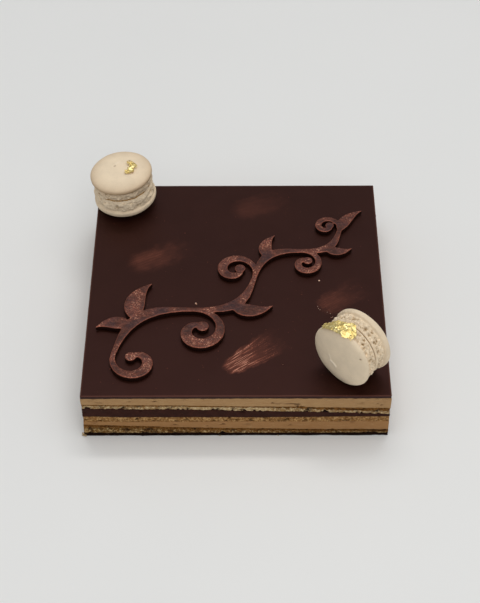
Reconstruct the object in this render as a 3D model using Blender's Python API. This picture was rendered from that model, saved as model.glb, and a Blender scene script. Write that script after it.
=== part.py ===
"""An opera cake: a square layer cake with a chocolate glaze, a cut chocolate scroll and two macarons.

Blender 4.5, metres, +Z up. The origin is the centre of the cake's underside, -Y is the front side
and +X is to the right. Run it with blender --background --python part.py, or from the text editor.
"""

import math
from collections import namedtuple

import bmesh
import bpy
from mathutils import Matrix, Vector
from mathutils.geometry import delaunay_2d_cdt

MM = 0.001

# ---------------------------------------------------------------- driving dimensions
CAKE_SIDE = 160 * MM
CAKE_HEIGHT = 31.8 * MM
HALF = CAKE_SIDE / 2
CLEARANCE = 0.3 * MM  # what two pieces that touch keep between them

GRID_ACROSS = 10  # cells of a layer's wavy face from left to right
GRID_DEEP = 6  # and from front to back
BACK_SHARE = 0.4  # how much of a layer's wedge is left at the back side
RIPPLE = 0.12 * MM  # the palette knife's waves in a spread layer
RIPPLE_ACROSS = 64 * MM
RIPPLE_DEEP = 83 * MM
GLAZE_BEVEL = 0.5 * MM

SCROLL_THICKNESS = 2.3 * MM
SCROLL_CENTRE = (-3 * MM, -7 * MM)
SCROLL_TURN = math.radians(37)
STEM_BENDS = [half * MM for half in (26, 20.5, 16.5, 13.5)]  # half the length of each bend
BEND_RISE = 0.5  # how far a bend swings out, as a share of half its length
STEM_STEPS = 10  # facets along a bend
LEAF_STEPS = 10
TENDRIL_STEP = math.radians(17)
TENDRIL_SHRINK = 0.19  # how fast a tendril's spiral tightens, for each radian
STROKE_THIN = 2.8 * MM
LEAF_POINT = 0.6 * MM

MACARON_STEPS = 40  # facets round a shell

# ---------------------------------------------------------------- colours (linear), roughness
Finish = namedtuple("Finish", "colour roughness metallic")
DARK_CHOCOLATE = Finish((0.042, 0.018, 0.014), 0.32, 0.0)
BASE_CHOCOLATE = Finish((0.012, 0.006, 0.004), 0.5, 0.0)
GANACHE = Finish((0.030, 0.012, 0.009), 0.45, 0.0)
COFFEE_BUTTERCREAM = Finish((0.30, 0.17, 0.08), 0.55, 0.0)
SOAKED_SPONGE = Finish((0.32, 0.20, 0.085), 0.85, 0.0)
DUSTED_CHOCOLATE = Finish((0.15, 0.060, 0.042), 0.42, 0.3)
ALMOND_SHELL = Finish((0.72, 0.60, 0.43), 0.6, 0.0)
VANILLA_FILLING = Finish((0.55, 0.40, 0.22), 0.5, 0.0)
GOLD = Finish((0.83, 0.62, 0.17), 0.3, 1.0)

# Each layer, from the base up: its name, its finish, and the height of its upper face at the
# left, middle and right of the front side.
Layer = namedtuple("Layer", "name finish left middle right")
LAYERS = (
    Layer("chocolate_base", BASE_CHOCOLATE, 1.1 * MM, 1.1 * MM, 1.1 * MM),
    Layer("sponge_bottom", SOAKED_SPONGE, 9.0 * MM, 5.8 * MM, 4.6 * MM),
    Layer("buttercream_lower", COFFEE_BUTTERCREAM, 11.1 * MM, 11.0 * MM, 11.2 * MM),
    Layer("sponge_middle", SOAKED_SPONGE, 15.4 * MM, 14.8 * MM, 15.5 * MM),
    Layer("ganache", GANACHE, 21.7 * MM, 20.0 * MM, 17.2 * MM),
    Layer("sponge_top", SOAKED_SPONGE, 25.1 * MM, 23.6 * MM, 22.0 * MM),
    Layer("buttercream_upper", COFFEE_BUTTERCREAM, 29.9 * MM, 29.9 * MM, 29.9 * MM),
    Layer("chocolate_glaze", DARK_CHOCOLATE, CAKE_HEIGHT, CAKE_HEIGHT, CAKE_HEIGHT),
)

# A shell's rim radius, the height of its ruffled foot and the dome's height above the foot.
Shell = namedtuple("Shell", "radius foot dome")
# place and turn are those of the macaron's axis: lying flat it has no turn, and standing on its
# rims the upper shell faces the direction turn. shift moves the upper shell sideways.
Macaron = namedtuple("Macaron", "name place turn lean lower upper filling shift")
LYING_MACARON = Macaron(
    name="macaron_back",
    place=(-64.8 * MM, 66.9 * MM),
    turn=None,
    lean=math.radians(-5.2),
    lower=Shell(18.0 * MM, 6.8 * MM, 6.4 * MM),
    upper=Shell(17.8 * MM, 4.0 * MM, 6.4 * MM),
    filling=1.4 * MM,
    shift=-0.3 * MM,
)
STANDING_MACARON = Macaron(
    name="macaron_front",
    place=(59.5 * MM, -62.4 * MM),
    turn=math.radians(-133.5),
    lean=0.0,
    lower=Shell(18.0 * MM, 5.4 * MM, 6.8 * MM),
    upper=Shell(18.0 * MM, 6.5 * MM, 5.2 * MM),
    filling=1.2 * MM,
    shift=0.0,
)
FOOT_SHARE = 0.955  # a foot's radius, as a share of the rim's
RIM_RISE = 0.28  # where a dome is widest, as a share of its height
DOME_POWER = 2.5  # of the superellipse that the dome follows: 2 is round, more is squarer
DOME_STEPS = 6

# A flake of gold leaf lies on an upper shell. It spans the angles around the axis, and from
# low to high across the shell: 0 is the rim, 90 degrees the middle of the dome and -90 degrees
# the flat side.
Flake = namedtuple("Flake", "name macaron around low high cells")
FLAKES = (
    Flake("gold_leaf_back", LYING_MACARON, (-58, 46), 62, 77, (7, 3)),
    Flake("gold_leaf_front", STANDING_MACARON, (160, 222), -62, 18, (9, 5)),
)
GOLD_THICKNESS = 0.25 * MM
GOLD_CRUMPLE = 0.5 * MM


# ---------------------------------------------------------------- helpers
def clear_scene():
    for old in list(bpy.data.objects):
        bpy.data.objects.remove(old)


def material_of(name, finish):
    """A Principled material with one sub-part's colour, roughness and metallic value."""
    material = bpy.data.materials.new(name)
    material.use_nodes = True
    shader = material.node_tree.nodes["Principled BSDF"]
    shader.inputs["Base Color"].default_value = (*finish.colour, 1.0)
    shader.inputs["Roughness"].default_value = finish.roughness
    shader.inputs["Metallic"].default_value = finish.metallic
    return material


def add_object(name, bm, finish, parent=None):
    """Turns a bmesh into a named object with its own material."""
    bmesh.ops.recalc_face_normals(bm, faces=bm.faces)
    mesh = bpy.data.meshes.new(name)
    bm.to_mesh(mesh)
    bm.free()
    mesh.materials.append(material_of(name, finish))
    obj = bpy.data.objects.new(name, mesh)
    bpy.context.scene.collection.objects.link(obj)
    obj.parent = parent
    return obj


def shade_round(obj):
    obj.data.shade_smooth()
    obj.data.set_sharp_from_angle(angle=math.radians(40))


# ---------------------------------------------------------------- the layers
def layer_top(index, x, y):
    """Height of the upper face of layer index above the point (x, y).

    Across the front it is the parabola through the layer's three heights. Towards the back the
    wedge evens out, and small waves run over the whole face."""
    layer = LAYERS[index]
    across = x / HALF
    slope = (layer.right - layer.left) / 2
    bow = (layer.right + layer.left) / 2 - layer.middle
    even = (layer.left + 2 * layer.middle + layer.right) / 4
    front = layer.middle + slope * across + bow * across**2
    back = (y + HALF) / CAKE_SIDE
    share = 1 - (1 - BACK_SHARE) * back
    if layer.left == layer.middle == layer.right:
        return even
    waves = math.sin(math.tau * x / RIPPLE_ACROSS + index) + math.sin(math.tau * y / RIPPLE_DEEP - index)
    return even + (front - even) * share + RIPPLE * waves


def add_layer(index):
    """One slab, between the face of the layer below and its own upper face."""
    layer = LAYERS[index]
    bm = bmesh.new()
    bmesh.ops.create_grid(bm, x_segments=GRID_ACROSS, y_segments=GRID_DEEP, size=HALF)
    lower = list(bm.verts)
    extruded = bmesh.ops.extrude_face_region(bm, geom=bm.faces[:], use_keep_orig=True)
    upper = [item for item in extruded["geom"] if isinstance(item, bmesh.types.BMVert)]
    for vert in lower:
        below = layer_top(index - 1, vert.co.x, vert.co.y) + CLEARANCE / 2 if index else 0.0
        vert.co.z = below
    is_lid = index == len(LAYERS) - 1
    for vert in upper:
        above = layer_top(index, vert.co.x, vert.co.y)
        vert.co.z = above if is_lid else above - CLEARANCE / 2
    return add_object(layer.name, bm, layer.finish)


def add_glaze():
    """The poured glaze: a plain thin slab with a small round along its upper edges."""
    index = len(LAYERS) - 1
    layer = LAYERS[index]
    below = layer_top(index - 1, 0, 0) + CLEARANCE / 2
    bm = bmesh.new()
    thickness = CAKE_HEIGHT - below
    middle = Matrix.Translation((0, 0, below + thickness / 2))
    size = Matrix.Diagonal((CAKE_SIDE, CAKE_SIDE, thickness, 1))
    bmesh.ops.create_cube(bm, size=1, matrix=middle @ size)
    rim = [edge for edge in bm.edges if all(vert.co.z > below + thickness / 2 for vert in edge.verts)]
    bmesh.ops.bevel(bm, geom=rim, offset=GLAZE_BEVEL, segments=3, profile=0.5, affect="EDGES")
    return add_object(layer.name, bm, layer.finish)


# ---------------------------------------------------------------- the chocolate scroll
def curl(start, heading, turn, radius, shrink, steps):
    """Points along an arc that sets out in the direction heading and turns by turn.

    Its radius falls off with shrink, so that an arc becomes a spiral."""
    points = [start.copy()]
    for step in range(steps):
        angle = turn * (step + 0.5) / steps
        stride = abs(turn) / steps * radius * math.exp(-shrink * abs(angle))
        points.append(points[-1] + stride * direction(heading + angle))
    return points


def direction(angle):
    return Vector((math.cos(angle), math.sin(angle)))


def ribbon(points, widths):
    """Outline of a stroke along points that has the given width at each and round ends."""
    left, right = [], []
    last = len(points) - 1
    for i, (point, width) in enumerate(zip(points, widths)):
        along = (points[min(i + 1, last)] - points[max(i - 1, 0)]).normalized()
        side = Vector((-along.y, along.x)) * (width / 2)
        left.append(point + side)
        right.append(point - side)
    return left + round_end(left[-1], right[-1]) + right[::-1] + round_end(right[0], left[0])


def round_end(start, end, steps=4):
    """The points of the half circle that runs clockwise from start to end, without those two."""
    centre, arm = (start + end) / 2, (start - end) / 2
    turns = [-math.pi * step / steps for step in range(1, steps)]
    return [centre + Matrix.Rotation(turn, 2) @ arm for turn in turns]


def bead(centre, radius, steps=14):
    return [centre + radius * direction(math.tau * step / steps) for step in range(steps)]


def leaf(root, heading, bend, length, width):
    """A pointed leaf that starts at root and turns by bend along its length."""
    points = curl(root, heading, bend, length / abs(bend), 0.0, LEAF_STEPS)
    widths = []
    for step in range(LEAF_STEPS + 1):
        share = step / LEAF_STEPS
        stalk = 0.8 * STROKE_THIN * (1 - share) ** 2
        blade = width * math.sin(math.pi * share**0.75) ** 1.1
        widths.append(max(LEAF_POINT, stalk + blade))
    return ribbon(points, widths)


def tendril(root, heading, turn, radius, width):
    """A spiral stroke that swells to width on its way, and the bead that it ends in."""
    steps = round(abs(turn) / TENDRIL_STEP)
    points = curl(root, heading, turn, radius, TENDRIL_SHRINK, steps)
    widths = []
    for step in range(steps + 1):
        swell = math.sin(math.pi * step / steps) ** 1.5
        widths.append(STROKE_THIN + (width - STROKE_THIN) * swell)
    return [ribbon(points, widths), bead(points[-1], 0.13 * radius + 1.4 * MM)]


def scroll_outlines():
    """The overlapping outlines of the scroll, with its stem along +X.

    The stem swings to and fro in bends that get shorter. Each bend carries a leaf on its crest
    and a tendril that curls back into its hollow."""
    x = -sum(STEM_BENDS)
    start = Vector((x, 0))
    slope = math.atan(BEND_RISE * math.pi / 2)
    stem, widths, outlines = [], [], []
    for index, half in enumerate(STEM_BENDS):
        side = 1 if index % 2 == 0 else -1
        for step in range(STEM_STEPS):
            swing = math.sin(math.pi * step / STEM_STEPS)
            stem.append(Vector((x + 2 * half * step / STEM_STEPS, side * BEND_RISE * half * swing)))
            widths.append(STROKE_THIN + 0.17 * half * swing**2)
        crest = Vector((x + 0.9 * half, side * BEND_RISE * half))
        bend = -side * math.radians(75)
        outlines.append(leaf(crest, side * math.radians(75), bend, 1.12 * half, 0.4 * half))
        x += 2 * half
        turn = -side * math.radians(400)
        outlines += tendril(Vector((x, 0)), -side * slope, turn, 0.62 * half, 0.27 * half)
    stem.append(Vector((x, 0)))
    widths.append(STROKE_THIN)
    outlines.append(ribbon(stem, widths))

    first, last = STEM_BENDS[0], STEM_BENDS[-1]
    outlines.append(leaf(stem[-1], slope, -math.radians(50), 1.6 * last, 0.45 * last))
    outlines += tendril(start, math.pi + slope, math.radians(330), 0.5 * first, 0.23 * first)
    crest = Vector((start.x + 0.7 * first, 0.45 * first))
    outlines.append(leaf(crest, math.radians(118), math.radians(60), 0.72 * first, 0.3 * first))
    return outlines


def anticlockwise(outline):
    twice_area = sum(here.cross(there) for here, there in zip(outline, outline[1:] + outline[:1]))
    return outline if twice_area > 0 else outline[::-1]


def union_of(outlines):
    """Vertices and triangles of the area that the outlines cover together."""
    points, loops = [], []
    for outline in map(anticlockwise, outlines):
        loops.append(list(range(len(points), len(points) + len(outline))))
        points += outline
    made = delaunay_2d_cdt(points, [], loops, 1, 1e-6)
    verts, faces, sources = made[0], made[2], made[5]
    return verts, [face for face, source in zip(faces, sources) if source]


def add_scroll():
    verts, faces = union_of(scroll_outlines())
    turn = Matrix.Rotation(SCROLL_TURN, 2)
    bm = bmesh.new()
    made = [bm.verts.new((*(turn @ Vector(vert)), 0)) for vert in verts]
    for face in faces:
        bm.faces.new([made[index] for index in face])
    bmesh.ops.delete(bm, geom=[vert for vert in bm.verts if not vert.link_faces], context="VERTS")
    bmesh.ops.dissolve_limit(bm, angle_limit=math.radians(1), verts=bm.verts, edges=bm.edges)
    scroll = add_object("chocolate_scroll", bm, DUSTED_CHOCOLATE)
    scroll.location = (*SCROLL_CENTRE, CAKE_HEIGHT + CLEARANCE)
    thicken = scroll.modifiers.new("thickness", "SOLIDIFY")
    thicken.thickness = SCROLL_THICKNESS
    thicken.offset = 1
    return scroll


# ---------------------------------------------------------------- the macarons
def dome_point(shell, slant):
    """(radius, height) on a shell's outside: slant is 0 at the rim and a quarter turn at the top.

    Below the rim, where slant is negative, the points lie straight under it."""
    rim = shell.foot + RIM_RISE * shell.dome
    if slant < 0:
        return shell.radius, rim * (1 + slant / (math.pi / 2))
    radius = shell.radius * math.cos(slant) ** (2 / DOME_POWER)
    rise = (1 - RIM_RISE) * shell.dome * math.sin(slant) ** (2 / DOME_POWER)
    return radius, rim + rise


def shell_profile(shell):
    """(radius, height) pairs from the flat side, where the filling is, up to the dome."""
    foot = FOOT_SHARE * shell.radius
    profile = [
        (foot - 0.8 * MM, 0.0),
        (foot, 0.2 * shell.foot),
        (foot + 0.25 * MM, 0.55 * shell.foot),
        (foot - 0.35 * MM, shell.foot),
        (0.985 * shell.radius, shell.foot + 0.1 * shell.dome),
    ]
    return profile + [dome_point(shell, math.pi / 2 * step / DOME_STEPS) for step in range(DOME_STEPS)]


def add_shell(name, shell, parent, height, dome_up, shift=0.0):
    """A shell with its flat side at height in the macaron's space. Its foot is ruffled."""
    bm = bmesh.new()
    rings = []
    for row, (radius, rise) in enumerate(shell_profile(shell)):
        ruffle = 0.35 * MM if row in (1, 2) else 0.0
        ring = []
        for step in range(MACARON_STEPS):
            angle = math.tau * step / MACARON_STEPS
            reach = radius + ruffle * (math.sin(9 * angle + row) + 0.6 * math.sin(14 * angle + 2 * row))
            ring.append(bm.verts.new((reach * math.cos(angle), reach * math.sin(angle), rise)))
        rings.append(ring)
    for lower, upper in zip(rings, rings[1:]):
        for step in range(MACARON_STEPS):
            after = (step + 1) % MACARON_STEPS
            bm.faces.new((lower[step], lower[after], upper[after], upper[step]))
    bm.faces.new(rings[0][::-1])
    top = bm.verts.new((0, 0, shell.foot + shell.dome))
    for step in range(MACARON_STEPS):
        bm.faces.new((rings[-1][step], rings[-1][(step + 1) % MACARON_STEPS], top))
    shell_object = add_object(name, bm, ALMOND_SHELL, parent)
    shade_round(shell_object)
    shell_object.location = (shift, 0, height)
    shell_object.rotation_euler.x = 0 if dome_up else math.pi
    return shell_object


def add_filling(macaron, parent):
    """The filling's disc, in the middle of the macaron's space."""
    radius = 0.91 * macaron.upper.radius
    bm = bmesh.new()
    depth = macaron.filling - 2 * CLEARANCE
    bmesh.ops.create_cone(
        bm, cap_ends=True, segments=MACARON_STEPS, radius1=radius, radius2=radius, depth=depth
    )
    shade_round(add_object(f"{macaron.name}_filling", bm, VANILLA_FILLING, parent))


def add_macaron(macaron):
    """Two shells and their filling on an empty, whose +Z is the macaron's axis."""
    holder = bpy.data.objects.new(macaron.name, None)
    bpy.context.scene.collection.objects.link(holder)
    holder.location = (*macaron.place, 0)
    holder.rotation_euler = (0, macaron.lean, 0) if macaron.turn is None else (0, math.pi / 2, macaron.turn)
    half = macaron.filling / 2
    name = f"{macaron.name}_upper_shell"
    shells = [
        add_shell(f"{macaron.name}_lower_shell", macaron.lower, holder, -half, dome_up=False),
        add_shell(name, macaron.upper, holder, half, dome_up=True, shift=macaron.shift),
    ]
    add_filling(macaron, holder)

    bpy.context.view_layer.update()
    lowest = min((shell.matrix_world @ vert.co).z for shell in shells for vert in shell.data.vertices)
    holder.location.z = CAKE_HEIGHT + CLEARANCE - lowest


# ---------------------------------------------------------------- the gold leaf
def flake_point(flake, around, slant, lift):
    """A point off the upper shell of the flake's macaron, in that macaron's space."""
    shell = flake.macaron.upper
    radius, rise = dome_point(shell, slant)
    steep = 2 - 2 / DOME_POWER
    dome = (1 - RIM_RISE) * shell.dome
    above = max(slant, 0)
    out = Vector((math.cos(above) ** steep / shell.radius, math.sin(above) ** steep / dome))
    out.normalize()
    reach = radius + lift * out.x
    x = reach * math.cos(around) + flake.macaron.shift
    return Vector((x, reach * math.sin(around), flake.macaron.filling / 2 + rise + lift * out.y))


def flake_lift(i, j, across, along):
    """How far a flake stands off the shell: crumpled all over, and raised along its edges."""
    folds = math.sin(2.3 * i + 1.1 * j) * math.sin(1.7 * j - 0.9 * i + 1)
    edge = max(abs(2 * i / across - 1), abs(2 * j / along - 1)) ** 4
    return CLEARANCE + 0.15 * MM + GOLD_CRUMPLE * (abs(folds) + 0.5 * edge)


def add_flake(flake):
    """A thin sheet that follows the shell. It is widest in the middle of its length."""
    across, along = flake.cells
    start, end = flake.around
    bm = bmesh.new()
    under, over = [], []
    for i in range(across + 1):
        width = (flake.high - flake.low) * (0.25 + 0.75 * math.sin(math.pi * i / across))
        for j in range(along + 1):
            ragged = 2.5 * math.sin(2.6 * i + 1.9 * j)
            around = math.radians(start + (end - start) * i / across + ragged / 2)
            slant = math.radians(flake.high - width * (1 - j / along) + ragged)
            lift = flake_lift(i, j, across, along)
            under.append(bm.verts.new(flake_point(flake, around, slant, lift)))
            over.append(bm.verts.new(flake_point(flake, around, slant, lift + GOLD_THICKNESS)))

    row = along + 1
    for i in range(across):
        for j in range(along):
            cell = (i * row + j, i * row + j + 1, (i + 1) * row + j + 1, (i + 1) * row + j)
            bm.faces.new([over[index] for index in cell])
            bm.faces.new([under[index] for index in reversed(cell)])
    border = [i * row for i in range(across)]
    border += [across * row + j for j in range(along)]
    border += [i * row + along for i in range(across, 0, -1)]
    border += list(range(along, 0, -1))
    for here, there in zip(border, border[1:] + border[:1]):
        bm.faces.new((under[here], under[there], over[there], over[here]))
    add_object(flake.name, bm, GOLD, bpy.data.objects[flake.macaron.name])


def main():
    clear_scene()
    for index in range(len(LAYERS) - 1):
        add_layer(index)
    add_glaze()
    add_scroll()
    for macaron in (LYING_MACARON, STANDING_MACARON):
        add_macaron(macaron)
    for flake in FLAKES:
        add_flake(flake)


main()
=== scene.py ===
"""A square opera cake: sponge, buttercream and ganache in layers under a dark
glaze, with a chocolate scroll, two macarons and gold leaf on top."""

import math
import random

import bmesh
import bpy
import numpy as np
from bpy.props import FloatProperty, FloatVectorProperty, IntProperty, PointerProperty
from mathutils import Euler, Matrix, Vector


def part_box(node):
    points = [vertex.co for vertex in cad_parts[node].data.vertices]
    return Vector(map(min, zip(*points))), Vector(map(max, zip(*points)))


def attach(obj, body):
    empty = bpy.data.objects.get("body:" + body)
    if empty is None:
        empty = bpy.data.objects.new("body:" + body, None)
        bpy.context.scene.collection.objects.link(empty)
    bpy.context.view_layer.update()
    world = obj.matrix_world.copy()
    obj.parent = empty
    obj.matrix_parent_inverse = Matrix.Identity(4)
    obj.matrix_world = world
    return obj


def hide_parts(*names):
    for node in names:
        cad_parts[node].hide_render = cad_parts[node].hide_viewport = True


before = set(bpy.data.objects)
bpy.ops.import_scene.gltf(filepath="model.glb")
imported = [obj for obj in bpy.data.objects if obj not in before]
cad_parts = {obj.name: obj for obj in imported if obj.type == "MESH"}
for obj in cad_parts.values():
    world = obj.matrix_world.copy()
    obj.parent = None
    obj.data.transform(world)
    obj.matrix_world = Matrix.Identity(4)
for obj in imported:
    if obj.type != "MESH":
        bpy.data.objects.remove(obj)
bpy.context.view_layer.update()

bl_info = {
    "name": "Opera cake",
    "version": (1, 0, 0),
    "blender": (4, 5, 0),
    "location": "3D View > Sidebar > Cake",
    "description": "Builds a square opera cake with a scroll, macarons and gold leaf",
    "category": "Add Mesh",
}

MM = 0.001
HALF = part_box("chocolate_glaze")[1].x  # half the cake's side
CAKE_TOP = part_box("chocolate_glaze")[1].z
GAP = 0.15 * MM  # each slab of the frame stops this far short of its neighbour


def linear(code):
    """sRGB hex to linear red, green and blue."""
    parts = [int(code[i : i + 2], 16) / 255 for i in (1, 3, 5)]
    return tuple(
        c / 12.92 if c <= 0.04045 else ((c + 0.055) / 1.055) ** 2.4 for c in parts
    )


# ---------------------------------------------------------------- properties


def size_of(name, words, default, unit="LENGTH"):
    if unit == "LENGTH":
        return FloatProperty(
            name=name, description=words, default=default * MM, subtype="DISTANCE", unit="LENGTH", precision=5
        )
    return FloatProperty(name=name, description=words, default=default)


def colour_of(name, words, code):
    return FloatVectorProperty(
        name=name, description=words, default=linear(code), subtype="COLOR", min=0, max=1
    )


class CakeSizes(bpy.types.PropertyGroup):
    """Sizes that shape the cake's pieces"""

    cell: size_of("Crumb cell", "Width of the faces on the cut sides", 0.4)
    crumb_depth: size_of("Crumb depth", "How far the torn crumb of the sponge sinks in", 0.55)
    wander: size_of("Layer wander", "How far the lines between layers stray up and down", 0.9)
    glaze_edge: size_of("Glaze edge", "Rounding of the glaze's upper edge", 0.5)
    scroll_grain: size_of("Scroll cell", "Cell of the scroll's mesh", 0.36)
    foot_lumps: size_of("Foot lumps", "Height of the lumps on the macarons' feet", 1.25)
    foot_pits: size_of("Foot pits", "Depth of the burst bubbles in the macarons' feet", 1.35)
    leaf: size_of("Leaf thickness", "Thickness of the gold leaf as drawn", 0.06)
    leaf_crumple: size_of("Leaf crumple", "Depth of the creases in the gold leaf", 0.8)
    shell_steps: IntProperty(
        name="Shell steps", description="Faces round a macaron shell", default=336, min=48
    )


class CakeColours(bpy.types.PropertyGroup):
    """Colours of the cake's materials"""

    sponge: colour_of("Sponge", "Almond sponge, dry crumb", "#9E7C50")
    sponge_pale: colour_of("Pale sponge", "Bits of whole almond crumb", "#D2BA90")
    sponge_soaked: colour_of("Soaked sponge", "Almond sponge that has drunk coffee syrup", "#8F6C39")
    crust: colour_of("Crust", "Baked skin of the sponge", "#5B3814")
    buttercream: colour_of("Buttercream", "Coffee buttercream", "#B18C60")
    buttercream_low: colour_of("Lower buttercream", "Buttercream that touches soaked sponge", "#A67B4E")
    ganache: colour_of("Ganache", "Dark chocolate ganache", "#381B13")
    couverture: colour_of("Couverture", "Thin chocolate coat under the cake", "#1C0E08")
    glaze: colour_of("Glaze", "Dark chocolate glaze", "#230F09")
    copper: colour_of("Copper dust", "Copper lustre dust", "#AA6450")
    macaron: colour_of("Macaron", "Baked almond meringue", "#F0DDC0")
    # Colour of the painted shade in the burst bubbles of the macarons' feet.
    macaron_pit_shade: colour_of("Macaron pits", "Burst bubbles in a macaron's foot", "#987A50")
    filling: colour_of("Filling", "Cream between the macaron shells", "#B98A44")
    gold: colour_of("Gold leaf", "Beaten gold", "#FAE8A6")
    floor: colour_of("Floor", "Pale matt floor", "#EDEEED")


# ------------------------------------------------------------------- helpers


def deselect():
    if bpy.context.mode != "OBJECT":
        bpy.ops.object.mode_set(mode="OBJECT")
    bpy.ops.object.select_all(action="DESELECT")


def only(piece):
    """Makes piece the one object that operators act on."""
    deselect()
    piece.select_set(True)
    bpy.context.view_layer.objects.active = piece
    return piece


def edit(piece):
    only(piece)
    bpy.ops.object.mode_set(mode="EDIT")
    bpy.ops.mesh.select_mode(type="VERT")
    bpy.ops.mesh.select_all(action="SELECT")


def done():
    bpy.ops.object.mode_set(mode="OBJECT")
    return bpy.context.object


def pick(kind, test):
    """Selects, in edit mode, the verts, edges or faces that pass the test."""
    bpy.ops.mesh.select_mode(type=kind)
    bpy.ops.mesh.select_all(action="DESELECT")
    mesh = bpy.context.object.data
    shape = bmesh.from_edit_mesh(mesh)
    found = {"VERT": shape.verts, "EDGE": shape.edges, "FACE": shape.faces}[kind]
    count = 0
    for part in found:
        if test(part):
            part.select_set(True)
            count += 1
    bmesh.update_edit_mesh(mesh)
    if not count:
        raise RuntimeError(f"{bpy.context.object.name}: nothing to select")
    return count


def copy_of(node, name):
    """A copy of a CAD node's mesh as a new piece, its loose triangles merged."""
    deselect()
    piece = bpy.data.objects.new(name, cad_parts[node].data.copy())
    bpy.context.scene.collection.objects.link(piece)
    piece.data.materials.clear()
    edit(piece)
    bpy.ops.mesh.remove_doubles(threshold=0.01 * MM)
    return done()


def points(mesh):
    """The mesh's points as an array, in metres."""
    flat = np.empty(len(mesh.vertices) * 3, np.float32)
    mesh.vertices.foreach_get("co", flat)
    return flat.reshape(-1, 3).astype(float)


def weigh(piece, name, weights):
    """A vertex group from an array of weights."""
    group = piece.vertex_groups.new(name=name)
    for i in np.nonzero(weights > 0.002)[0]:
        group.add([int(i)], float(min(1.0, weights[i])), "REPLACE")


def note(piece, name, values):
    """A number on each point, for the material to read."""
    layer = piece.data.attributes.new(name, "FLOAT", "POINT")
    layer.data.foreach_set("value", np.asarray(values, np.float32))


def grain(name, kind, size, **settings):
    """A texture that Displace reads, with features of that size in millimetres."""
    made = bpy.data.textures.new(name, kind)
    made.noise_scale = size * MM
    for key, value in settings.items():
        setattr(made, key, value)
    return made


def pores(name, size, spread):
    """Round pits of one size: white at each cell's middle, black past spread."""
    made = grain(name, "VORONOI", size)
    made.use_color_ramp = True
    first, last = made.color_ramp.elements
    first.position, first.color = 0.0, (1, 1, 1, 1)
    last.position, last.color = spread, (0, 0, 0, 1)
    return made


def push(piece, depth, axis="NORMAL", group="", texture=None, middle=0.0):
    """One Displace modifier, applied."""
    only(piece)
    step = piece.modifiers.new("push", "DISPLACE")
    step.strength, step.direction, step.mid_level = depth, axis, middle
    step.vertex_group = group
    if texture:
        step.texture, step.texture_coords = texture, "LOCAL"
    bpy.ops.object.modifier_apply(modifier=step.name)


def modify(piece, kind, **settings):
    """One modifier with its settings, applied."""
    only(piece)
    step = piece.modifiers.new(kind.title(), kind)
    for key, value in settings.items():
        setattr(step, key, value)
    bpy.ops.object.modifier_apply(modifier=step.name)


def hand_over(piece, material, slot, *nodes, angle=50):
    """Gives a finished piece smooth shading, its material and its body, and hides the nodes that it replaces."""
    only(piece)
    bpy.ops.object.shade_smooth_by_angle(angle=math.radians(angle))
    piece.vertex_groups.clear()
    piece.data.materials.clear()
    piece.data.materials.append(material)
    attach(piece, "root")
    if nodes:
        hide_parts(*nodes)


# ----------------------------------------------------------------- materials


def per(size):
    """Pattern scale for features of that size in millimetres."""
    return 1 / (size * MM)


def add(tree, kind, links=None, **settings):
    """Adds a node with its settings, and fills its sockets with values or links."""
    node = tree.nodes.new(kind)
    for key, value in settings.items():
        setattr(node, key, value)
    for key, value in (links or {}).items():
        if isinstance(value, bpy.types.NodeSocket):
            tree.links.new(value, node.inputs[key])
        else:
            node.inputs[key].default_value = value
    return node


class Recipe:
    """A material in the making: short words for the nodes that it needs."""

    def __init__(self, name, **constants):
        self.material = bpy.data.materials.new(name)
        self.material.use_nodes = True
        self.tree = self.material.node_tree
        self.tree.nodes.clear()
        self.shader = add(self.tree, "ShaderNodeBsdfPrincipled", constants)
        out = add(self.tree, "ShaderNodeOutputMaterial")
        self.tree.links.new(self.shader.outputs[0], out.inputs[0])
        self.place = add(self.tree, "ShaderNodeTexCoord").outputs["Object"]

    def node(self, kind, links=None, out=0, **settings):
        return add(self.tree, kind, links, **settings).outputs[out]

    def maths(self, what, a, b=0.0, c=0.0):
        return self.node("ShaderNodeMath", {0: a, 1: b, 2: c}, operation=what)

    def between(self, value, low, high, start=0.0, end=1.0):
        return self.node(
            "ShaderNodeMapRange",
            {0: value, 1: low, 2: high, 3: start, 4: end},
            interpolation_type="SMOOTHSTEP",
        )

    def blend(self, share, first, second, how="MIX"):
        first, second = (
            (*c, 1) if isinstance(c, tuple) and len(c) == 3 else c for c in (first, second)
        )
        return self.node(
            "ShaderNodeMix", {0: share, 6: first, 7: second}, 2, data_type="RGBA", blend_type=how
        )

    def bump(self, height, depth, strength=1.0, under=None):
        links = {"Height": height, "Distance": depth * MM, "Strength": strength}
        if under:
            links["Normal"] = under
        return self.node("ShaderNodeBump", links)

    def finish(self, colour, roughness=None, normal=None, metallic=None):
        for name, source in (
            ("Base Color", colour),
            ("Roughness", roughness),
            ("Normal", normal),
            ("Metallic", metallic),
        ):
            if source is not None:
                self.tree.links.new(source, self.shader.inputs[name])
        return self.material


def noise_of(r, size, detail=3.0, rough=0.55, place=None, warp=0.0):
    return r.node(
        "ShaderNodeTexNoise",
        {"Vector": place or r.place, "Scale": per(size), "Detail": detail, "Roughness": rough, "Distortion": warp},
    )


def shade(colour, factor):
    return tuple(min(1.0, c * factor) for c in colour)


def depth_inside(r):
    """Millimetres in from the cake's nominal side, from the object's own place."""
    x, y = (
        r.maths("ABSOLUTE", r.node("ShaderNodeSeparateXYZ", {0: r.place}, axis))
        for axis in (0, 1)
    )
    return r.maths("MULTIPLY", r.maths("SUBTRACT", HALF, r.maths("MAXIMUM", x, y)), 1000)


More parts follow.
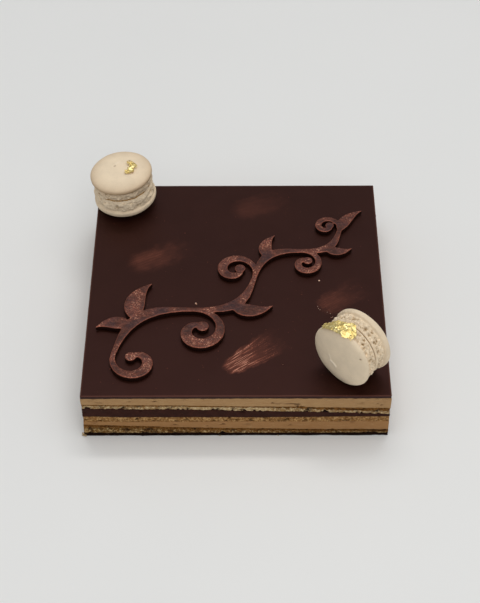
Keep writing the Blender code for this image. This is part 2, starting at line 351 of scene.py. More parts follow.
def sponge_material(colours):
    # Almond sponge, baked thin and cut: a matt open crumb, darker where syrup
    # has soaked in, with a brown baked skin along its upper face.
    r = Recipe("almond_sponge_cut", **{"Roughness": 0.92, "Specular IOR Level": 0.12})
    height = r.node("ShaderNodeSeparateXYZ", {0: r.place}, 2)
    damp = r.between(height, 15.5 * MM, 18 * MM, 1, 0)
    soaked = r.between(height, 6.5 * MM, 9.5 * MM, 1, 0)
    base = r.blend(damp, tuple(colours.sponge), linear("#946A3C"))
    across = r.node("ShaderNodeSeparateXYZ", {0: r.place}, 0)
    # The upper sponge is cleanest just left of the middle of the cake.
    clean = r.maths("MULTIPLY", r.between(across, -40 * MM, -15 * MM), r.between(across, 10 * MM, 22 * MM, 1, 0))
    clean = r.maths("MULTIPLY", clean, r.maths("SUBTRACT", 1, damp))
    dirty = r.maths("MULTIPLY_ADD", clean, -0.9, r.maths("MULTIPLY_ADD", damp, 0.25, 0.75))
    base = r.blend(soaked, base, tuple(colours.sponge_soaked))
    light = r.blend(damp, tuple(colours.sponge_pale), linear("#C39C68"))
    light = r.blend(soaked, light, linear("#D6B985"))
    pale = r.between(noise_of(r, 1.3, 5, 0.65, warp=0.3), 0.45, 0.58)
    base = r.blend(r.maths("MULTIPLY", pale, 0.9), base, light)
    brown = r.between(noise_of(r, 1.7, 5, 0.65), 0.5, 0.66)
    base = r.blend(r.maths("MULTIPLY", brown, r.maths("MULTIPLY", dirty, 0.72)), base, shade(colours.crust, 1.2))
    blotch = r.between(noise_of(r, 3.0, 4, 0.6), 0.52, 0.6)
    base = r.blend(r.maths("MULTIPLY", blotch, r.maths("MULTIPLY_ADD", soaked, 0.65, 0.15)), base, linear("#40260F"))
    grains = r.between(noise_of(r, 0.6, 3, 0.6), 0.57, 0.67)
    base = r.blend(r.maths("MULTIPLY", grains, r.maths("MULTIPLY", dirty, 0.8)), base, linear("#4C2810"))
    base = r.blend(r.maths("MULTIPLY", clean, 0.35), base, tuple(colours.sponge_pale))
    down = r.node("ShaderNodeAttribute", None, 2, attribute_name="down")
    ragged = r.maths("MULTIPLY_ADD", noise_of(r, 1.6, 4, 0.65), 1.9, r.maths("SUBTRACT", down, 0.95))
    skin = r.between(ragged, 0.4, 0.95, 1, 0)
    toasted = r.blend(r.between(noise_of(r, 0.9, 3), 0.4, 0.62), tuple(colours.crust), linear("#83592B"))
    base = r.blend(skin, base, toasted)
    # Painted shade: the crumb darkens where the cut is torn in deepest, as shade falls in its holes.
    hollow_shade = r.between(depth_inside(r), 0.55, 1.7)
    base = r.blend(r.maths("MULTIPLY", hollow_shade, 0.8), base, linear("#2A1508"))
    # Painted shade in the holes and slits of the cut.
    stain_and_hole_shade = r.node("ShaderNodeAttribute", None, 2, attribute_name="stain_and_hole_shade")
    base = r.blend(stain_and_hole_shade, base, linear("#2C1507"))
    fine = noise_of(r, 0.5, 4, 0.7)
    return r.finish(base, normal=r.bump(fine, 0.25, 0.8))


def cream_material(colours):
    # Coffee buttercream cut with a warm knife: smooth, faintly greasy, with
    # long shallow drag marks and a few trapped bubbles.
    r = Recipe("coffee_buttercream", **{"Roughness": 0.62, "Specular IOR Level": 0.14})
    height = r.node("ShaderNodeSeparateXYZ", {0: r.place}, 2)
    upper = r.between(height, 13 * MM, 20 * MM)
    tint = r.blend(upper, tuple(colours.buttercream_low), tuple(colours.buttercream))
    cloud = r.between(noise_of(r, 9, 4), 0.3, 0.7, 0.0, 0.14)
    base = r.blend(cloud, tint, linear("#8A5E38"))
    flat = r.node("ShaderNodeMapping", {0: r.place, 3: (1, 1, 6)})
    smear = noise_of(r, 4.5, 5, 0.65, flat)
    base = r.blend(r.between(smear, 0.52, 0.74, 0, 0.4), base, linear("#96663D"))
    base = r.blend(r.between(smear, 0.46, 0.3, 0, 0.22), base, linear("#CDAE82"))
    specks = r.between(noise_of(r, 0.6, 2), 0.64, 0.72)
    base = r.blend(r.maths("MULTIPLY", specks, 0.6), base, linear("#6E4A28"))
    # Painted shade where the cut is torn in deepest.
    hollow_shade = r.between(depth_inside(r), 0.45, 1.2)
    base = r.blend(r.maths("MULTIPLY", hollow_shade, 0.8), base, linear("#40260F"))
    # Painted shade in the holes and slits of the cut.
    stain_and_hole_shade = r.node("ShaderNodeAttribute", None, 2, attribute_name="stain_and_hole_shade")
    base = r.blend(stain_and_hole_shade, base, linear("#442811"))
    return r.finish(base, normal=r.bump(smear, 0.2, 0.6))


def ganache_material(colours):
    # Dark ganache, poured between the sponges: dense, close-grained, satin.
    r = Recipe("dark_ganache", **{"Roughness": 0.5, "Specular IOR Level": 0.07})
    cloud = r.between(noise_of(r, 5, 4), 0.35, 0.7)
    base = r.blend(cloud, shade(colours.ganache, 0.8), shade(colours.ganache, 1.12))
    crumbs = r.between(noise_of(r, 0.7, 3), 0.66, 0.74)
    base = r.blend(r.maths("MULTIPLY", crumbs, 0.4), base, linear("#7B5636"))
    # Painted shade where the cut is torn in deepest.
    hollow_shade = r.between(depth_inside(r), 0.4, 1.2)
    base = r.blend(r.maths("MULTIPLY", hollow_shade, 0.8), base, linear("#140804"))
    # Painted shade in the holes and slits of the cut.
    stain_and_hole_shade = r.node("ShaderNodeAttribute", None, 2, attribute_name="stain_and_hole_shade")
    base = r.blend(stain_and_hole_shade, base, linear("#120703"))
    return r.finish(base, normal=r.bump(noise_of(r, 1.2, 4), 0.12, 0.6))


def couverture_material(colours):
    # A thin coat of tempered dark chocolate under the cake, snapped by the knife.
    r = Recipe("dark_couverture", **{"Roughness": 0.6, "Specular IOR Level": 0.03})
    cloud = r.between(noise_of(r, 1.6, 4), 0.35, 0.7)
    base = r.blend(cloud, shade(colours.couverture, 0.6), shade(colours.couverture, 1.3))
    return r.finish(base, normal=r.bump(noise_of(r, 0.8, 3), 0.15, 0.7))


# Strokes of a dry brush loaded with copper dust: middle (mm), direction
# (degrees), half length and half width (mm), bow, fan, strength, grit, share
# of fine bristle lines, softness of the outline.
STROKES = (
    ((8.6, -52.0), 36.0, (18.5, 10.6), 0.14, 0.4, 1.0, 0.3, 0.88, 0.22),
    ((56.8, -11.0), 34.0, (15.5, 9.8), 0.1, 0.1, 0.22, 1.6, 0.45, 0.45),
    ((-44.0, 20.6), 25.0, (19.0, 11.5), 0.1, 0.1, 0.3, 0.1, 0.5, 0.7),
    ((13.7, 62.4), 18.0, (19.0, 11.5), 0.1, 0.12, 0.11, 0.0, 0.3, 0.6),
)


def dust_stroke(r, middle, turn, size, bow, fan, strength, grit, lined, soft):
    """How much dust one stroke leaves: streaks that start thick and run out."""
    flat = r.node(
        "ShaderNodeMapping",
        {
            0: r.place,
            1: (middle[0] * MM, middle[1] * MM, CAKE_TOP),
            2: (0, 0, math.radians(turn)),
            3: (size[0] * MM, size[1] * MM, 1),
        },
        vector_type="TEXTURE",
    )
    along = r.node("ShaderNodeSeparateXYZ", {0: flat}, 0)
    across = r.node("ShaderNodeSeparateXYZ", {0: flat}, 1)
    bent = r.maths("MULTIPLY_ADD", r.maths("POWER", r.maths("ADD", along, 1), 2), -0.25 * bow, across)
    spread = r.maths("MULTIPLY_ADD", along, 0.5 * fan, 1 - 0.5 * fan)
    side = r.maths("DIVIDE", bent, r.maths("MAXIMUM", spread, 0.12))
    # Bristle lines, about 0.3 mm apart, drawn 0.6 mm apart so that they show.
    lines = r.node("ShaderNodeCombineXYZ", {0: along, 1: r.maths("MULTIPLY", side, size[1] / 0.9), 2: turn})
    streaks = r.node("ShaderNodeTexNoise", {"Vector": lines, "Scale": 2.1, "Detail": 1.0, "Roughness": 0.5})
    tufts = r.node(
        "ShaderNodeTexNoise",
        {"Vector": r.node("ShaderNodeCombineXYZ", {0: r.maths("MULTIPLY", along, 0.5), 1: side, 2: turn}), "Scale": 2.2},
    )
    broken = r.node(
        "ShaderNodeTexNoise",
        {"Vector": r.node("ShaderNodeCombineXYZ", {0: r.maths("MULTIPLY", along, 1.5), 1: side, 2: turn}), "Scale": 3.0},
    )
    wave = r.maths("SUBTRACT", broken, 0.5)
    # The outline is round at the start, where the brush lands, and ragged.
    nose = r.maths("POWER", r.maths("MAXIMUM", r.maths("MULTIPLY_ADD", along, -1, -0.35), 0), 2)
    edge = r.maths("ADD", r.maths("ABSOLUTE", side), r.maths("MULTIPLY", nose, 1.0))
    edge = r.maths("MULTIPLY_ADD", wave, 0.5, edge)
    inside = r.between(edge, 0.92 - soft, 1.0, 1, 0)
    start = r.between(r.maths("MULTIPLY_ADD", wave, 0.3, along), -1.0, -0.85 + 0.5 * soft)
    run_out = r.between(r.maths("MULTIPLY_ADD", wave, 0.8, along), -0.35, 1.2, 1, 0)
    body = r.maths("MULTIPLY", inside, r.maths("MULTIPLY", start, run_out))
    bristle = r.between(streaks, 0.54, 0.65)
    # Past its start the dust skips over the glaze and leaves dots.
    grit_spots = noise_of(r, 0.65, 2, 0.6)
    dotted = r.between(r.maths("MULTIPLY_ADD", along, -0.22, grit_spots), 0.32, 0.5)
    bristle = r.maths("MULTIPLY", bristle, dotted)
    bristle = r.maths("MULTIPLY", bristle, r.between(tufts, 0.3, 0.62, 0.35, 1))
    heavy = r.between(along, -0.95, -0.35, 1, 0)
    extra = r.maths("MULTIPLY", r.maths("MULTIPLY", r.between(grit_spots, 0.56, 0.68), heavy), grit)
    cloud = r.maths("MULTIPLY_ADD", r.between(tufts, 0.3, 0.65), 0.5 * (1 - lined), 0.1 + 0.35 * (1 - lined))
    amount = r.maths("ADD", r.maths("MULTIPLY", bristle, lined), cloud)
    amount = r.maths("MULTIPLY_ADD", extra, 1.1, amount)
    return r.maths("MULTIPLY", r.maths("MULTIPLY", body, amount), strength)


def glaze_material(colours):
    # Dark chocolate glaze, poured and set: an even satin skin that mirrors
    # nothing sharply, with copper lustre dust brushed on in four places. Its
    # haze is warm, because cocoa butter tints the light that it sends back.
    r = Recipe("dark_chocolate_glaze", **{"Specular IOR Level": 0.28, "Specular Tint": (1.0, 0.46, 0.42, 1)})
    cloud = r.between(noise_of(r, 34, 3), 0.3, 0.7)
    base = r.blend(cloud, shade(colours.glaze, 0.93), shade(colours.glaze, 1.07))
    dust = None
    for stroke in STROKES:
        one = dust_stroke(r, *stroke)
        dust = one if dust is None else r.maths("MAXIMUM", dust, one)
    stray = r.between(noise_of(r, 1.1, 1), 0.765, 0.81)
    dust = r.maths("MAXIMUM", dust, r.maths("MULTIPLY", stray, 0.35))
    base = r.blend(dust, base, tuple(colours.copper))
    # Where the dust lies thickest it turns paler: a painted highlight on the dust.
    base = r.blend(r.between(dust, 0.5, 1.0, 0, 0.65), base, linear("#D9A087"))
    height = r.node("ShaderNodeSeparateXYZ", {0: r.place}, 2)
    # Painted highlight: a lighter line along the glaze's rounded upper edge, for the light that the edge catches.
    rim = r.maths(
        "MULTIPLY", r.between(height, CAKE_TOP - 0.5 * MM, CAKE_TOP - 0.15 * MM), r.between(depth_inside(r), 1.0, 0.5)
    )
    base = r.blend(r.maths("MULTIPLY", rim, 0.3), base, linear("#7A4E40"))
    rough = r.between(noise_of(r, 12, 4), 0.3, 0.7, 0.38, 0.46)
    ripple = r.bump(noise_of(r, 18, 2), 0.3, 0.5)
    return r.finish(
        base,
        rough,
        r.bump(noise_of(r, 0.7, 3), 0.02, 0.5, ripple),
        r.maths("MULTIPLY", dust, 0.55),
    )


def scroll_material(colours):
    # Cast dark chocolate, brushed all over with copper lustre dust: speckled
    # metal on its upper face, with more on its rounded edges as a painted
    # highlight, and plain dark chocolate on its walls, painted darker as shade.
    r = Recipe("dusted_cast_chocolate", **{"Specular IOR Level": 0.2})
    upward = r.node("ShaderNodeSeparateXYZ", {0: r.node("ShaderNodeNewGeometry", None, 1)}, 2)
    faces_up = r.between(upward, 0.15, 0.6)
    edge = r.maths("MULTIPLY", faces_up, r.between(upward, 0.99, 0.86))
    patch = r.between(noise_of(r, 12, 4, 0.6, warp=0.4), 0.38, 0.63)
    brushed = r.node("ShaderNodeMapping", {0: r.place, 2: (0, 0, math.radians(35)), 3: (0.25, 1, 1)})
    strokes = r.between(noise_of(r, 1.0, 3, 0.6, brushed), 0.42, 0.66)
    speckle = r.between(noise_of(r, 0.7, 4, 0.75), 0.47, 0.62)
    bright = r.between(noise_of(r, 0.8, 3, 0.7), 0.56, 0.64)
    purple = r.between(noise_of(r, 8, 2), 0.45, 0.62)
    chocolate = r.blend(purple, linear("#3C201A"), linear("#382122"))
    # Painted shade: the walls are a darker chocolate than the face under the dust.
    chocolate = r.blend(faces_up, shade(colours.glaze, 0.9), chocolate)
    cover = r.maths("MULTIPLY_ADD", patch, 0.7, 0.02)
    cover = r.maths("MULTIPLY", cover, r.maths("MULTIPLY_ADD", speckle, 0.85, 0.2))
    cover = r.maths("MULTIPLY_ADD", strokes, 0.14, cover)
    # More copper on the rounded edges: partly dust, partly a painted highlight along them.
    cover = r.maths("MULTIPLY_ADD", edge, 0.6, cover)
    cover = r.maths("MULTIPLY", cover, faces_up)
    base = r.blend(cover, chocolate, shade(colours.copper, 0.9))
    shine = r.maths("MULTIPLY", bright, r.between(patch, 0.35, 1.0, 0.1, 0.9))
    base = r.blend(r.maths("MULTIPLY", shine, faces_up), base, linear("#D79C80"))
    return r.finish(
        base,
        r.between(speckle, 0, 1, 0.4, 0.52),
        r.bump(noise_of(r, 0.8, 4, 0.65), 0.1, 0.6),
        r.maths("MULTIPLY", cover, 0.6),
    )


def macaron_material(colours):
    # Baked almond meringue: a dry eggshell-matt skin over a bubbly foot, with
    # painted shade in its burst bubbles, darker the deeper they sink.
    r = Recipe("almond_meringue_shell", **{"Roughness": 0.78, "Specular IOR Level": 0.3})
    cloud = r.between(noise_of(r, 7, 3), 0.32, 0.68)
    base = r.blend(cloud, shade(colours.macaron, 0.95), shade(colours.macaron, 1.03))
    flour = r.between(noise_of(r, 0.8, 3), 0.58, 0.72)
    base = r.blend(r.maths("MULTIPLY", flour, 0.14), base, linear("#B99768"))
    # Painted shade: the dome's side darkens toward its edge, most on the back macaron's upper shell.
    dome_edge_shade = r.node("ShaderNodeAttribute", None, 2, attribute_name="dome_edge_shade")
    base = r.blend(dome_edge_shade, base, linear("#B5946E"))
    foot = r.node("ShaderNodeAttribute", None, 2, attribute_name="frill")
    crumb = r.between(noise_of(r, 1.1, 4, 0.65), 0.45, 0.7)
    base = r.blend(r.maths("MULTIPLY", foot, r.maths("MULTIPLY", crumb, 0.34)), base, linear("#B8966A"))
    sink = r.node("ShaderNodeAttribute", None, 2, attribute_name="sink")
    # Painted shade in the burst bubbles of the foot, darker the deeper they sink.
    hollow_shade = r.between(r.maths("MULTIPLY_ADD", crumb, 0.35, sink), 0.6, 1.8)
    base = r.blend(hollow_shade, base, tuple(colours.macaron_pit_shade))
    # Dark specks and nicks on the domes, their own colour.
    stain_and_hole_shade = r.node("ShaderNodeAttribute", None, 2, attribute_name="stain_and_hole_shade")
    base = r.blend(stain_and_hole_shade, base, linear("#76583E"))
    # Painted highlight along the raised runs of sugar.
    painted_highlight = r.node("ShaderNodeAttribute", None, 2, attribute_name="painted_highlight")
    base = r.blend(painted_highlight, base, linear("#FAEEDC"))
    return r.finish(base, normal=r.bump(noise_of(r, 0.45, 4, 0.7), 0.06, 0.7))


def filling_material(colours):
    # Soft caramel cream, squeezed out thin between two shells.
    r = Recipe("caramel_cream", **{"Roughness": 0.5, "Specular IOR Level": 0.35})
    cloud = r.between(noise_of(r, 2.5, 4), 0.35, 0.68)
    base = r.blend(cloud, shade(colours.filling, 0.75), shade(colours.filling, 1.1))
    return r.finish(base, normal=r.bump(noise_of(r, 1.0, 3), 0.1, 0.6))


def gold_material(colours):
    # Gold leaf, beaten thin and crumpled: a pale yellow metal with fine creases
    # that throw small bright and dark facets.
    r = Recipe("crumpled_gold_leaf", **{"Metallic": 1.0})
    tone = r.between(noise_of(r, 2.2, 4), 0.35, 0.65)
    base = r.blend(tone, tuple(colours.gold), linear("#E9CE80"))
    crease = r.node("ShaderNodeTexVoronoi", {"Vector": r.place, "Scale": per(2.0)}, feature="F2")
    creases = r.maths("MULTIPLY_ADD", noise_of(r, 0.9, 3), 0.4, crease)
    return r.finish(base, r.between(tone, 0, 1, 0.34, 0.46), r.bump(creases, 0.4, 0.9))


def floor_material(colours):
    # Pale matt laminate: nearly even, with the faintest cloud in it.
    r = Recipe("pale_matt_laminate", **{"Roughness": 0.6, "Specular IOR Level": 0.2})
    cloud = r.between(noise_of(r, 240, 3), 0.3, 0.7)
    base = r.blend(cloud, shade(colours.floor, 0.985), shade(colours.floor, 1.0))
    return r.finish(base, normal=r.bump(noise_of(r, 1.5, 3), 0.02, 0.3))


# -------------------------------------------------------------------- layers

SIDES = {  # name: (axis across, its sign, axis inward, its direction)
    "front": (0, 1, 1, 1),
    "right": (1, 1, 0, -1),
    "back": (0, -1, 1, -1),
    "left": (1, -1, 0, 1),
}

# Slab, material, slot, rows of faces up its side, wander below and above,
# shift of its baked skin (mm).
SLABS = (
    ("chocolate_base", "couverture", "chocolate_base", 4, 0.0, 0.35, 9),
    ("sponge_bottom", "sponge", "sponge", 18, 0.35, 0.7, -0.8),
    ("buttercream_lower", "cream", "buttercream", 11, 0.7, 0.6, 9),
    ("sponge_middle", "sponge", "sponge", 11, 0.6, 0.5, 0.75),
    ("ganache", "ganache", "ganache", 12, 0.5, 0.9, 9),
    ("sponge_top", "sponge", "sponge", 12, 0.9, 0.6, -0.45),
    ("buttercream_upper", "cream", "buttercream", 17, 0.6, 0.3, 9),
)

# Holes and slits on the front side: place along it and height, half
# width and half height, depth (all mm), darkness of the painted shade in it.
FRONT_MARKS = {
    "sponge_bottom": (
        (-34.0, 2.7, 1.1, 0.6, 1.6, 0.4), (-56.8, 4.1, 1.6, 0.8, 0.7, 0.6),
        (-45.7, 4.0, 3.6, 0.9, 0.5, 0.65), (-21.8, 4.8, 0.9, 0.7, 1.5, 0.4),
        (-7.2, 2.0, 0.9, 0.5, 1.4, 0.5), (-11.1, 1.9, 0.7, 0.5, 1.2, 0.4),
        (30.1, 4.2, 1.0, 0.6, 1.6, 0.6), (48.8, 3.3, 0.8, 0.6, 1.4, 0.4),
        (52.0, 2.1, 0.9, 0.5, 1.5, 0.5), (53.8, 2.9, 0.7, 0.5, 1.1, 0.4),
        (74.0, 3.2, 5.5, 1.2, 0.3, 0.45), (-76.7, 4.6, 1.2, 1.0, 0.8, 0.3),
        (-67.1, 7.3, 2.4, 0.6, 0.4, 0.5), (12.0, 3.6, 1.0, 0.5, 0.9, 0.3),
    ),
    "buttercream_lower": (
        (-31.9, 8.4, 1.5, 0.35, 0.8, 0.7), (-6.8, 8.8, 1.3, 0.35, 0.8, 0.7),
        (-15.2, 7.5, 0.8, 0.3, 0.5, 0.4), (-74.0, 10.0, 1.6, 0.3, 0.5, 0.5),
    ),
    "sponge_middle": (
        (-70.7, 12.0, 1.4, 0.45, 1.2, 0.7), (-26.3, 12.0, 1.5, 0.4, 1.1, 0.6),
        (26.1, 12.0, 1.7, 0.4, 1.1, 0.6), (36.5, 12.0, 0.9, 0.5, 1.2, 0.6),
        (40.7, 12.0, 1.3, 0.4, 0.9, 0.5), (-51.6, 12.6, 1.2, 0.4, 1.1, 0.6),
        (-3.1, 13.5, 0.9, 0.5, 0.9, 0.4), (60.0, 13.0, 1.0, 0.4, 0.9, 0.4),
    ),
    "ganache": ((3.2, 19.0, 1.3, 1.0, 0.5, 0.2),),
    "sponge_top": (
        (37.0, 19.8, 1.2, 0.9, 1.8, 0.8), (46.1, 18.9, 1.3, 0.8, 1.8, 0.8),
        (72.5, 19.1, 1.6, 0.8, 1.6, 0.7), (-33.8, 21.9, 0.8, 0.5, 1.5, 0.5),
        (-24.7, 21.6, 0.8, 0.5, 1.5, 0.5), (-57.7, 22.6, 0.7, 0.5, 1.2, 0.4),
        (-50.0, 23.0, 1.0, 0.6, 1.5, 0.6), (3.2, 20.6, 1.5, 0.7, 1.4, 0.8),
        (49.1, 21.2, 2.1, 0.5, 0.5, 0.6), (61.6, 20.4, 2.6, 0.6, 0.5, 0.6),
        (65.7, 20.4, 1.4, 0.5, 0.6, 0.6), (-76.7, 22.2, 1.6, 0.6, 1.3, 0.7),
        (-58.6, 21.8, 1.7, 0.5, 1.2, 0.7), (-9.8, 20.8, 1.7, 0.5, 1.2, 0.7),
        (19.5, 22.9, 9.0, 0.35, 0.2, 0.4),
    ),
    "buttercream_upper": (
        (-41.8, 27.6, 1.1, 0.35, 0.7, 0.85), (-54.9, 27.6, 0.9, 0.3, 0.3, 0.3),
        (28.6, 25.4, 3.4, 0.4, 0.4, 0.7), (21.0, 25.9, 3.2, 0.6, 0.2, 0.3),
        (34.1, 23.2, 1.4, 0.4, 0.4, 0.5), (75.0, 24.4, 0.6, 0.4, 0.5, 0.7),
        (73.0, 25.6, 0.4, 0.3, 0.4, 0.6), (-70.0, 26.4, 1.6, 0.25, 0.3, 0.3),
    ),
}  # fmt: skip


def marks_for(slab, side, low, high):
    """The marks of one slab on one side, drawn at random where none are listed."""
    dice = random.Random(f"{slab} {side}")
    marks = list(FRONT_MARKS.get(slab, ())) if side == "front" else []
    # Per kind: how many marks, how deep, and how dark the painted shade in them is.
    kinds = {"sponge": (46, 1.5, 0.55), "buttercream": (9, 0.6, 0.6), "ganache": (6, 0.5, 0.3)}
    count, depth, stain_and_hole_shade = next((v for k, v in kinds.items() if slab.startswith(k)), (5, 0.3, 0.2))
    count = count // 2 if side == "front" else count
    for _ in range(count):
        wide = dice.uniform(0.35, 1.3) * (1.6 if slab.startswith("butter") else 1)
        marks.append(
            (
                dice.uniform(-79, 79),
                dice.uniform(low, high),
                wide,
                wide * dice.uniform(0.3, 0.7),
                depth * dice.uniform(0.35, 1),
                stain_and_hole_shade * dice.uniform(0.2, 1),
            )
        )
    return marks


class CAKE_OT_layers(bpy.types.Operator):
    """Builds the seven cut layers under the glaze, with crumb on all four sides"""

    bl_idname = "cake.layers"
    bl_label = "Cut layers"

    def execute(self, context):
        sizes, colours = context.scene.cake_sizes, context.scene.cake_colours
        materials = {
            "sponge": sponge_material(colours),
            "cream": cream_material(colours),
            "ganache": ganache_material(colours),
            "couverture": couverture_material(colours),
        }
        uneven = grain("uneven cut", "CLOUDS", 11, noise_depth=1)
        crumb = grain("torn crumb", "CLOUDS", 1.7, noise_depth=3, noise_type="HARD_NOISE")
        holes = pores("crumb holes", 2.4, 0.42)
        stray = grain("stray line", "CLOUDS", 1.8, noise_depth=2)
        for node, kind, slot, rows, below, above, skin in SLABS:
            slab = copy_of(node, "layer_" + node)
            self.open_sides(slab, node, sizes, rows)
            self.weigh_sides(slab, node, below, above, skin)
            torn = {"sponge": 1.0, "cream": 0.22, "ganache": 0.2, "couverture": 0.5}[kind]
            for side, (_, _, inward, way) in SIDES.items():
                axis = "XY"[inward]
                # The chocolate coat has run a little past the cut, except on the right.
                run = -0.5 if kind == "couverture" and side != "right" else 0.35
                push(slab, way * run * MM, axis, side, uneven)
                push(slab, way * sizes.crumb_depth * torn, axis, side, crumb)
                if kind == "sponge":
                    push(slab, way * 1.1 * MM, axis, side, holes)
                push(slab, way * 2.0 * MM, axis, side + " marks")
            push(slab, sizes.wander, "Z", "rims", stray, 0.5)
            hand_over(slab, materials[kind], slot, node, angle=60)
        return {"FINISHED"}

    def open_sides(self, slab, node, sizes, rows):
        """Takes the plain sides off and bridges finely divided rims instead."""
        edit(slab)
        pick("FACE", lambda f: abs(f.normal.z) < 0.3)
        bpy.ops.mesh.delete(type="FACE")
        for axis in (0, 1):
            length = max(
                abs(e.verts[0].co[axis] - e.verts[1].co[axis])
                for e in bmesh.from_edit_mesh(slab.data).edges
                if e.is_boundary
            )
            pick(
                "EDGE",
                lambda e: e.is_boundary and abs(e.verts[0].co[axis] - e.verts[1].co[axis]) > 1 * MM,
            )
            bpy.ops.mesh.subdivide(number_cuts=round(length / sizes.cell) - 1)
        for up in (1, -1):
            if up < 0 and node == "chocolate_base":
                continue
            # The chocolate coat curls up the sides a little, so it looks thicker there.
            curl = 0.5 * MM if (node, up) in (("chocolate_base", 1), ("sponge_bottom", -1)) else 0
            pick("VERT", lambda v: v.is_boundary and v.link_faces[0].normal.z * up > 0.5)
            bpy.ops.transform.translate(value=(0, 0, up * GAP + curl))
        pick("EDGE", lambda e: e.is_boundary)
        bpy.ops.mesh.bridge_edge_loops(number_cuts=rows - 1, interpolation="LINEAR")
        bpy.ops.mesh.select_all(action="SELECT")
        bpy.ops.mesh.normals_make_consistent(inside=False)
        done()

    def weigh_sides(self, slab, node, below, above, skin):
        """Marks which points lie on which side, near which rim, and in which hole."""
        place = points(slab.data)
        edge = np.abs(place[:, :2]).max(axis=1) > HALF - 0.02 * MM
        _, column = np.unique(np.round(place[:, :2] * 1e5), axis=0, return_inverse=True)
        column = column.reshape(-1)
        top = np.full(column.max() + 1, -1.0)
        low = np.full(column.max() + 1, 1.0)
        np.maximum.at(top, column, place[:, 2])
        np.minimum.at(low, column, place[:, 2])
        down = (top[column] - place[:, 2]) / MM
        rise = (place[:, 2] - low[column]) / MM
        rims = np.maximum(above * np.exp(-((down / 0.7) ** 2)), below * np.exp(-((rise / 0.7) ** 2)))
        weigh(slab, "rims", rims * edge)
        # The upper sponge caught more heat toward the right, so its skin is thicker there.
        toward_right = np.clip((place[:, 0] - 15 * MM) / (45 * MM), 0, 1)
        note(slab, "down", down + skin - (1.6 * toward_right if node == "sponge_top" else 0))
        stain_and_hole_shade = np.zeros(len(place))
        for side, (along, sign, inward, way) in SIDES.items():
            here = edge & (place[:, inward] * -way > HALF - 0.02 * MM)
            weigh(slab, side, here.astype(float))
            s, z = place[:, along] * sign / MM, place[:, 2] / MM
            dents = np.zeros(len(place))
            for n, (at, up, wide, tall, depth, dark) in enumerate(
                marks_for(node, side, z[here].min(), z[here].max())
            ):
                ds, dz = (s - at) / wide, (z - up) / tall
                turn = np.arctan2(dz, ds)
                far = np.hypot(ds, dz) * (1 + 0.22 * np.sin(3 * turn + n) + 0.15 * np.sin(5 * turn + 2 * n))
                hole = np.clip(1.25 - far, 0, 1) * here
                dents = np.maximum(dents, np.clip(hole * 1.6, 0, 1) * depth / 2.0)
                # Painted shade in each hole, as dark as its mark says.
                stain_and_hole_shade = np.maximum(stain_and_hole_shade, np.clip(hole * 2.0, 0, 1) * dark)
            weigh(slab, side + " marks", dents)
        note(slab, "stain_and_hole_shade", stain_and_hole_shade)


# --------------------------------------------------------------------- glaze


class CAKE_OT_glaze(bpy.types.Operator):
    """Builds the poured glaze that covers the cake's upper face"""

    bl_idname = "cake.glaze"
    bl_label = "Glaze"

    def execute(self, context):
        sizes = context.scene.cake_sizes
        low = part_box("chocolate_glaze")[0].z - GAP
        deselect()
        cells = 110
        bpy.ops.mesh.primitive_grid_add(
            x_subdivisions=cells, y_subdivisions=cells, size=2 * HALF, location=(0, 0, low)
        )
        glaze = context.object
        glaze.name = glaze.data.name = "glaze_coat"
        bpy.ops.object.transform_apply(location=True, rotation=True, scale=True)
        edit(glaze)
        bpy.ops.mesh.extrude_region_move(TRANSFORM_OT_translate={"value": (0, 0, CAKE_TOP - low)})
        bpy.ops.mesh.select_all(action="SELECT")
        bpy.ops.mesh.normals_make_consistent(inside=False)

        def outer(v):
            return max(abs(v.co.x), abs(v.co.y)) > HALF - 0.01 * MM

        pick("EDGE", lambda e: abs(e.verts[0].co.z - e.verts[1].co.z) > 1 * MM)
        bpy.ops.mesh.subdivide(number_cuts=5)
        pick(
            "EDGE",
            lambda e: all(outer(v) for v in e.verts)
            and (
                all(v.co.z > CAKE_TOP - 0.01 * MM for v in e.verts)
                or all(min(abs(v.co.x), abs(v.co.y)) > HALF - 0.01 * MM for v in e.verts)
            ),
        )
        bpy.ops.mesh.bevel(offset=sizes.glaze_edge, segments=4, affect="EDGES")
        done()
        place = points(glaze.data)
        reach = np.abs(place[:, :2]).max(axis=1)
        wall = (reach > HALF - 0.3 * MM) & (place[:, 2] < CAKE_TOP - 0.3 * MM)
        for side, (_, _, inward, way) in SIDES.items():
            weigh(glaze, side, (wall & (place[:, inward] * -way > HALF - 0.3 * MM)).astype(float))
        weigh(glaze, "foot", wall * np.clip(1 - (place[:, 2] - low) / (1.2 * MM), 0, 1))
        weigh(glaze, "top", np.clip((place[:, 2] - CAKE_TOP) / (0.5 * MM) + 1, 0, 1))
        swell = grain("poured swell", "CLOUDS", 26, noise_depth=1)
        drag = grain("knife drag", "CLOUDS", 3, noise_depth=2)
        for side, (_, _, inward, way) in SIDES.items():
            push(glaze, way * 0.3 * MM, "XY"[inward], side, drag)
        push(glaze, 0.5 * MM, "Z", "foot", drag, 0.5)
        push(glaze, -0.16 * MM, "Z", "top", swell)
        hand_over(glaze, glaze_material(context.scene.cake_colours), "chocolate_glaze", "chocolate_glaze")
        return {"FINISHED"}


# -------------------------------------------------------------------- scroll


